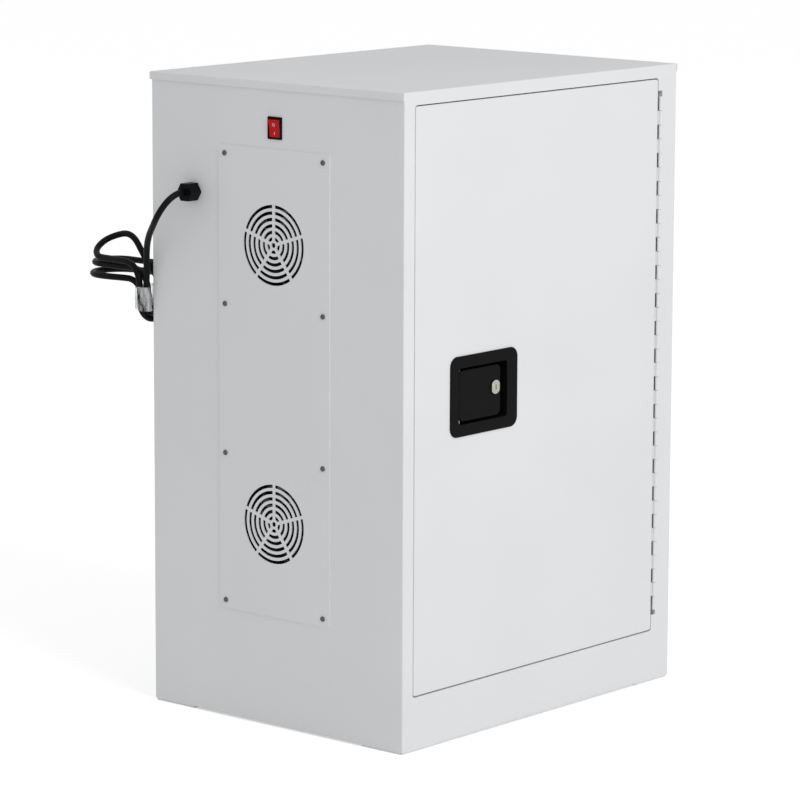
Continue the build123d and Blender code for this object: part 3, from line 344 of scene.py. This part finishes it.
def makeFilm(values):
    mesh = bpy.data.meshes.new("bundleFilm")
    bm = bmesh.new()
    rings = []
    for step in range(values["rings"] + 1):
        share = step / values["rings"]
        ring = []
        for x, y in values["outline"]:
            lean = (x - values["near"]) / (values["far"] - values["near"])
            low, high = between(values["low"], lean), between(values["high"], lean)
            ring.append(bm.verts.new(Vector((x, y, low + (high - low) * share)) / 1000))
        rings.append(ring)
    count = len(rings[0])
    for lower, upper in zip(rings, rings[1:]):
        for index in range(count):
            after = (index + 1) % count
            bm.faces.new((lower[index], lower[after], upper[after], upper[index]))
    across = [e for e in bm.edges if abs(e.verts[0].co.z - e.verts[1].co.z) < 0.001]
    bmesh.ops.subdivide_edges(bm, edges=across, cuts=3)
    bmesh.ops.recalc_face_normals(bm, faces=bm.faces)
    bm.normal_update()
    acrossX, acrossY, along = values["crease"]
    for vert in bm.verts:      # the film is pulled tight in slanting creases
        x, y, z = vert.co
        spot = Vector((x * acrossX, y * acrossY, z * along + x * values["slant"]))
        vert.co += vert.normal * values["crinkle"] * noise.noise(spot)
    film = finishPiece(bm, mesh, "bundleFilm", clearFilm, "cabinet")
    film.modifiers.new("thickness", "SOLIDIFY").thickness = values["thickness"]
    return film


# switch marks

markSet = {
    "y": -0.0008,
    "offAt": 0.8322,
    "onAt": 0.8206,
    "outside": -0.4,       # a ray from here meets the rocker's face
    "ring": 0.0019,
    "line": 0.00042,       # half the ring's line
    "thick": 0.0003,
    "bar": (0.0004, 0.0009, 0.0042),
    "proud": 0.00012,
}


def placeOnRocker(bm, verts, values, height):
    place, normal = nodes["switch_rocker"].ray_cast((values["outside"], values["y"], height), (1, 0, 0))[1:3]
    turn = Vector((-1, 0, 0)).rotation_difference(normal).to_matrix()
    bmesh.ops.rotate(bm, cent=(0, 0, 0), matrix=turn, verts=verts)
    bmesh.ops.translate(bm, vec=place + normal * values["proud"], verts=verts)


def makeMarks(values):
    mesh = bpy.data.meshes.new("switchMarks")
    bm = bmesh.new()
    size = values["line"]
    ring = bmesh.ops.create_circle(bm, segments=40, radius=values["ring"] + size)["verts"]
    face = bmesh.ops.contextual_create(bm, geom=list({e for v in ring for e in v.link_edges}))["faces"]
    bmesh.ops.inset_region(bm, faces=face, thickness=2 * size, use_boundary=True)
    bmesh.ops.delete(bm, geom=face, context="FACES_ONLY")
    raised = bmesh.ops.extrude_face_region(bm, geom=bm.faces[:])["geom"]
    upper = [item for item in raised if isinstance(item, bmesh.types.BMVert)]
    bmesh.ops.translate(bm, vec=(0, 0, values["thick"]), verts=upper)
    bmesh.ops.rotate(bm, cent=(0, 0, 0), matrix=Matrix.Rotation(-pi / 2, 3, "Y"), verts=bm.verts)
    placeOnRocker(bm, bm.verts[:], values, values["offAt"])
    bar = bmesh.ops.create_cube(bm, size=1)["verts"]
    bmesh.ops.scale(bm, vec=values["bar"], verts=bar)
    placeOnRocker(bm, bar, values, values["onAt"])
    return finishPiece(bm, mesh, "switchMarks", markPink, "rocker", smooth=False)


lead = makeLead(leadSet)
plugBlades = makePlugBlades(plugSet)
bundleFilm = makeFilm(filmSet)
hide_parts("power_cord", "cord_hank")
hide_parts("cord_tie")
makeMarks(markSet)
print("mains lead, plug and switch marks made")


# floor and light

floorSet = {
    "size": 12,
    "colour": (0.9, 0.9, 0.9),
    "roughness": 0.9,
    "specular": 0.1,
    "lift": 0.45,      # seen straight on, the floor is this much brighter, so it runs into the white behind
}


def makeFloor(values):
    mesh = bpy.data.meshes.new("floor")
    bm = bmesh.new()
    bmesh.ops.create_grid(bm, x_segments=1, y_segments=1, size=values["size"])
    bm.to_mesh(mesh)
    bm.free()
    floor = bpy.data.objects.new("floor", mesh)
    bpy.context.collection.objects.link(floor)
    pale, tree, shader = newMaterial("floorPale", values["colour"], values["roughness"], specular=values["specular"])
    path = addNode(tree, "ShaderNodeLightPath")
    lift = addNode(tree, "ShaderNodeMath", operation="MULTIPLY")
    lift.inputs[1].default_value = values["lift"]
    tree.links.new(path.outputs["Is Camera Ray"], lift.inputs[0])
    shader.inputs["Emission Color"].default_value = (1, 1, 1, 1)
    tree.links.new(lift.outputs["Value"], shader.inputs["Emission Strength"])
    floor.data.materials.append(pale)


# white where the camera looks past the object or through the film, and a softer level as light
worldSet = {"light": 0.6, "seen": 1.0}


def makeWorld(values):
    world = bpy.data.worlds.new("studio")
    bpy.context.scene.world = world
    world.use_nodes = True
    tree = world.node_tree
    backdrop = tree.nodes["Background"]
    backdrop.inputs["Color"].default_value = (1, 1, 1, 1)
    path = addNode(tree, "ShaderNodeLightPath")
    seen = addNode(tree, "ShaderNodeMath", operation="MAXIMUM")
    tree.links.new(path.outputs["Is Camera Ray"], seen.inputs[0])
    tree.links.new(path.outputs["Is Transmission Ray"], seen.inputs[1])
    strength = addNode(tree, "ShaderNodeMapRange")
    strength.inputs["To Min"].default_value = values["light"]
    strength.inputs["To Max"].default_value = values["seen"]
    tree.links.new(seen.outputs["Value"], strength.inputs["Value"])
    tree.links.new(strength.outputs["Result"], backdrop.inputs["Strength"])


lampSet = {"energy": 60, "place": (-0.6, -3.5, 2.6), "aim": (0, 0, 0.5), "size": 2.5}


def makeLamp(values):
    data = bpy.data.lights.new("keyLamp", "AREA")
    data.energy = values["energy"]
    data.size = values["size"]
    lamp = bpy.data.objects.new("keyLamp", data)
    lamp.location = values["place"]
    lamp.rotation_mode = "QUATERNION"
    lamp.rotation_quaternion = (Vector(values["aim"]) - Vector(values["place"])).to_track_quat("-Z", "Y")
    bpy.context.collection.objects.link(lamp)


makeFloor(floorSet)
bpy.context.scene.view_settings.view_transform = "Standard"
makeWorld(worldSet)
makeLamp(lampSet)
print("stage made")
